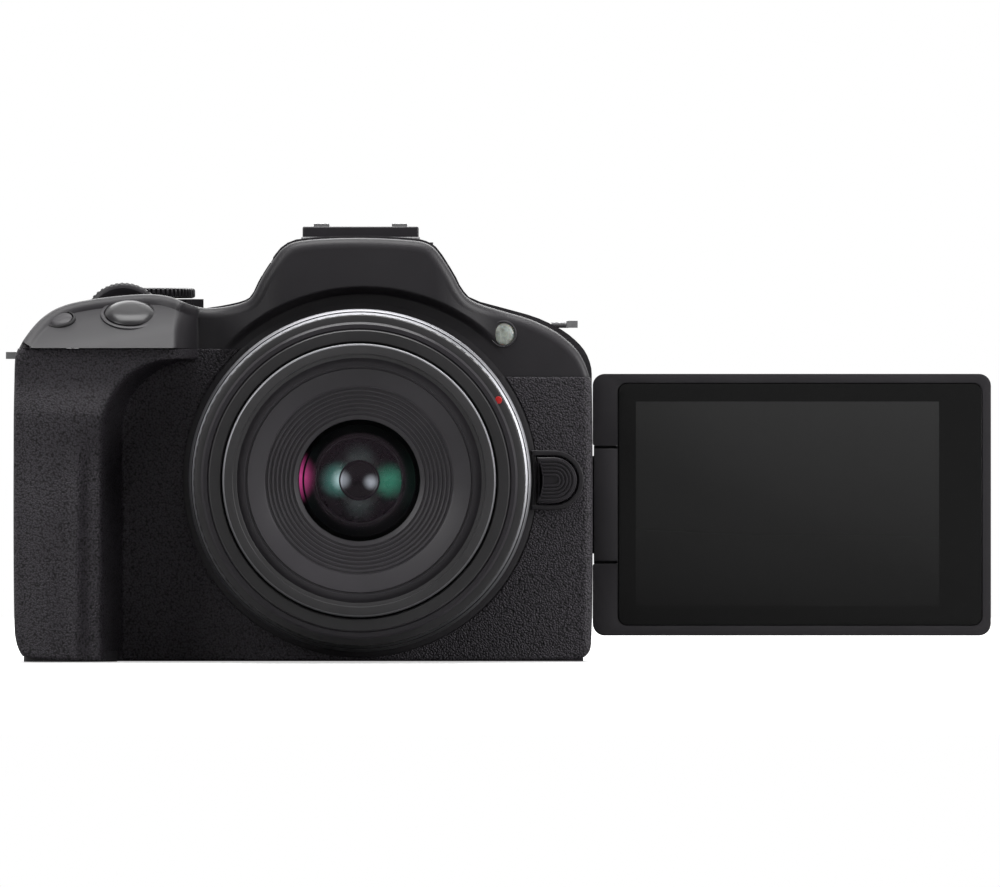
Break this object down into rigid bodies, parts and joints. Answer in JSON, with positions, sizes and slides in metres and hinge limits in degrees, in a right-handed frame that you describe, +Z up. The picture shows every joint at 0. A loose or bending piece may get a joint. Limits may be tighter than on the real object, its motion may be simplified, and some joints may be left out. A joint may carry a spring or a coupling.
{
  "type": "mirrorless camera",
  "caption": "Compact mirrorless camera with a hand grip, a retracting zoom lens and a side-hinged screen swung out and turned to face forward.",
  "frame": {"origin": "centre of the tripod socket's mouth, in the base plane, on the lens's centre line and in the plane of the sensor", "axes": "+Z up, -Y the way the lens looks, +X to the right of someone who faces the lens, towards the screen"},
  "size_m": [0.1992, 0.0943, 0.0884],
  "materials": {
    "body_plastic": "fine matte texture",
    "leatherette": "coarse pebble grain",
    "dial_plastic": "satin",
    "rubber": "soft matte",
    "bare_metal": "satin",
    "bright_steel": "brushed",
    "gold_contacts": "bright",
    "circuit_board": "solder mask",
    "sensor_glass": "coated",
    "battery_grey": "matte",
    "card_plastic": "matte",
    "lens_plastic": "satin",
    "lens_glass": "coated",
    "finder_glass": "coated",
    "screen_glass": "gloss",
    "lcd": "gloss",
    "flash_diffuser": "frosted",
    "lamp_lens": "frosted",
    "button_gloss": "gloss",
    "movie_red": "gloss",
    "shutter_black": "matte",
    "screw_black": "black"
  },
  "bodies": {
    "camera": {"front_cover": "body_plastic", "top_cover": "body_plastic", "rear_cover": "body_plastic", "base_plate": "body_plastic", "front_leatherette": "leatherette", "chassis": "bare_metal", "mount_ring": "bright_steel", "body_contacts": "gold_contacts", "image_sensor": "sensor_glass", "shutter_unit": "shutter_black", "main_board": "circuit_board", "battery_case": "shutter_black", "battery": "battery_grey", "memory_card": "card_plastic", "tripod_socket": "bright_steel", "viewfinder_housing": "shutter_black", "eyepiece_lens": "finder_glass", "eyecup": "rubber", "shoe_base": "dial_plastic", "shoe_rails": "bright_steel", "focus_lamp": "lamp_lens", "strap_lugs": "bright_steel", "terminal_sockets": "bare_metal", "case_screws": "screw_black", "hinge_bracket": "bare_metal"},
    "screen_arm": {"hinge_arm": "body_plastic"},
    "screen": {"screen_frame": "body_plastic", "screen_back": "body_plastic", "screen_glass": "screen_glass", "lcd_panel": "lcd"},
    "lens": {"lens_barrel": "lens_plastic", "lens_bayonet": "bright_steel", "rear_element": "lens_glass"},
    "zoom_ring": {"zoom_ring": "lens_plastic"},
    "control_ring": {"control_ring": "lens_plastic"},
    "inner_barrel": {"inner_barrel": "lens_plastic", "front_bezel": "lens_plastic", "front_element": "lens_glass"},
    "flash": {"flash_head": "body_plastic", "flash_window": "flash_diffuser"},
    "battery_door": {"battery_door": "body_plastic"},
    "door_latch": {"door_latch": "dial_plastic"},
    "diopter_dial": {"diopter_dial": "dial_plastic"},
    "mode_dial": {"mode_dial": "dial_plastic"},
    "power_lever": {"power_lever": "dial_plastic"},
    "main_dial": {"main_dial": "dial_plastic"},
    "shutter_button": {"shutter_button": "button_gloss"},
    "iso_button": {"iso_button": "dial_plastic"},
    "movie_button": {"movie_button": "movie_red"},
    "lock_button": {"lock_button": "dial_plastic"},
    "focus_point_button": {"focus_point_button": "dial_plastic"},
    "info_button": {"info_button": "dial_plastic"},
    "playback_button": {"playback_button": "dial_plastic"},
    "menu_button": {"menu_button": "dial_plastic"},
    "cross_key": {"cross_key": "dial_plastic"},
    "set_button": {"set_button": "dial_plastic"},
    "release_button": {"release_button": "dial_plastic"},
    "lock_pin": {"lock_pin": "bright_steel"},
    "terminal_cover": {"terminal_cover": "rubber"},
    "port_cover": {"port_cover": "rubber"}
  },
  "joints": [
    {"name": "screen_swing", "type": "hinge", "parent": "camera", "child": "screen_arm", "pos_m": [0.047, 0.0124, 0.0315], "axis": [0, 0, -1], "range_deg": [-180, 0]},
    {"name": "screen_tilt", "type": "hinge", "parent": "screen_arm", "child": "screen", "pos_m": [0.0498, 0.0089, 0.0315], "axis": [-1, 0, 0], "range_deg": [0, 270]},
    {"name": "lens_twist", "type": "hinge", "parent": "camera", "child": "lens", "pos_m": [0, -0.02, 0.0365], "axis": [0, -1, 0], "range_deg": [0, 60]},
    {"name": "zoom_turn", "type": "hinge", "parent": "lens", "child": "zoom_ring", "pos_m": [0, -0.04, 0.0365], "axis": [0, -1, 0], "range_deg": [0, 80]},
    {"name": "zoom_extend", "type": "slide", "parent": "lens", "child": "inner_barrel", "axis": [0, -1, 0], "range_m": [0, 0.01401]},
    {"name": "control_turn", "type": "hinge", "parent": "lens", "child": "control_ring", "pos_m": [0, -0.054, 0.0365], "axis": [0, -1, 0], "continuous": true},
    {"name": "flash_raise", "type": "hinge", "parent": "camera", "child": "flash", "pos_m": [0, -0.0015, 0.0834], "axis": [-1, 0, 0], "range_deg": [0, 65]},
    {"name": "battery_door_swing", "type": "hinge", "parent": "camera", "child": "battery_door", "pos_m": [-0.0459, 0, 0.00115], "axis": [0, -1, 0], "range_deg": [0, 95]},
    {"name": "door_latch_slide", "type": "slide", "parent": "battery_door", "child": "door_latch", "axis": [1, 0, 0], "range_m": [0, 0.0006], "stiffness_N_per_m": 200},
    {"name": "mode_dial_turn", "type": "hinge", "parent": "camera", "child": "mode_dial", "pos_m": [-0.042, 0.0046, 0.0732], "axis": [0, 0, 1], "continuous": true},
    {"name": "power_lever_turn", "type": "hinge", "parent": "camera", "child": "power_lever", "pos_m": [-0.042, 0.0046, 0.0722], "axis": [0, 0, 1], "range_deg": [0, 60]},
    {"name": "main_dial_turn", "type": "hinge", "parent": "camera", "child": "main_dial", "pos_m": [-0.0478, -0.012, 0.0683], "axis": [0, 1, 0], "continuous": true},
    {"name": "diopter_turn", "type": "hinge", "parent": "camera", "child": "diopter_dial", "pos_m": [0.0169, 0.017, 0.0733], "axis": [0, 1, 0], "range_deg": [-150, 150]},
    {"name": "shutter_press", "type": "slide", "parent": "camera", "child": "shutter_button", "axis": [0, 0.5, -0.866], "range_m": [0, 0.0008], "stiffness_N_per_m": 800},
    {"name": "iso_press", "type": "slide", "parent": "camera", "child": "iso_button", "axis": [0.4066, 0.5, -0.7647], "range_m": [0, 0.0004], "stiffness_N_per_m": 1000},
    {"name": "movie_press", "type": "slide", "parent": "camera", "child": "movie_button", "axis": [0, 0, -1], "range_m": [0, 0.0004], "stiffness_N_per_m": 1000},
    {"name": "lock_press", "type": "slide", "parent": "camera", "child": "lock_button", "axis": [0, -1, 0], "range_m": [0, 0.0005], "stiffness_N_per_m": 1000},
    {"name": "focus_point_press", "type": "slide", "parent": "camera", "child": "focus_point_button", "axis": [0, -1, 0], "range_m": [0, 0.0005], "stiffness_N_per_m": 1000},
    {"name": "info_press", "type": "slide", "parent": "camera", "child": "info_button", "axis": [0, -1, 0], "range_m": [0, 0.0005], "stiffness_N_per_m": 1000},
    {"name": "playback_press", "type": "slide", "parent": "camera", "child": "playback_button", "axis": [0, -1, 0], "range_m": [0, 0.0005], "stiffness_N_per_m": 1000},
    {"name": "menu_press", "type": "slide", "parent": "camera", "child": "menu_button", "axis": [0, -1, 0], "range_m": [0, 0.0005], "stiffness_N_per_m": 1000},
    {"name": "cross_key_press", "type": "slide", "parent": "camera", "child": "cross_key", "axis": [0, -1, 0], "range_m": [0, 0.0005], "stiffness_N_per_m": 1000},
    {"name": "set_press", "type": "slide", "parent": "camera", "child": "set_button", "axis": [0, -1, 0], "range_m": [0, 0.0006], "stiffness_N_per_m": 1000},
    {"name": "release_press", "type": "slide", "parent": "camera", "child": "release_button", "axis": [0, 1, 0], "range_m": [0, 0.0015], "stiffness_N_per_m": 500},
    {"name": "lock_pin_retract", "type": "slide", "parent": "camera", "child": "lock_pin", "axis": [0, 1, 0], "range_m": [0, 0.0015], "stiffness_N_per_m": 300},
    {"name": "terminal_cover_open", "type": "hinge", "parent": "camera", "child": "terminal_cover", "pos_m": [0.0469, 0.0042, 0.0609], "axis": [0, 0, 1], "range_deg": [0, 90]},
    {"name": "port_cover_open", "type": "hinge", "parent": "camera", "child": "port_cover", "pos_m": [-0.0696, 0.0039, 0.024], "axis": [0, 0, -1], "range_deg": [0, 110]}
  ],
  "couplings": [
    {"joint": "zoom_extend", "follows": "zoom_turn", "m_per_rad": 0.010027},
    {"joint": "lock_pin_retract", "follows": "release_press", "ratio": 1}
  ]
}
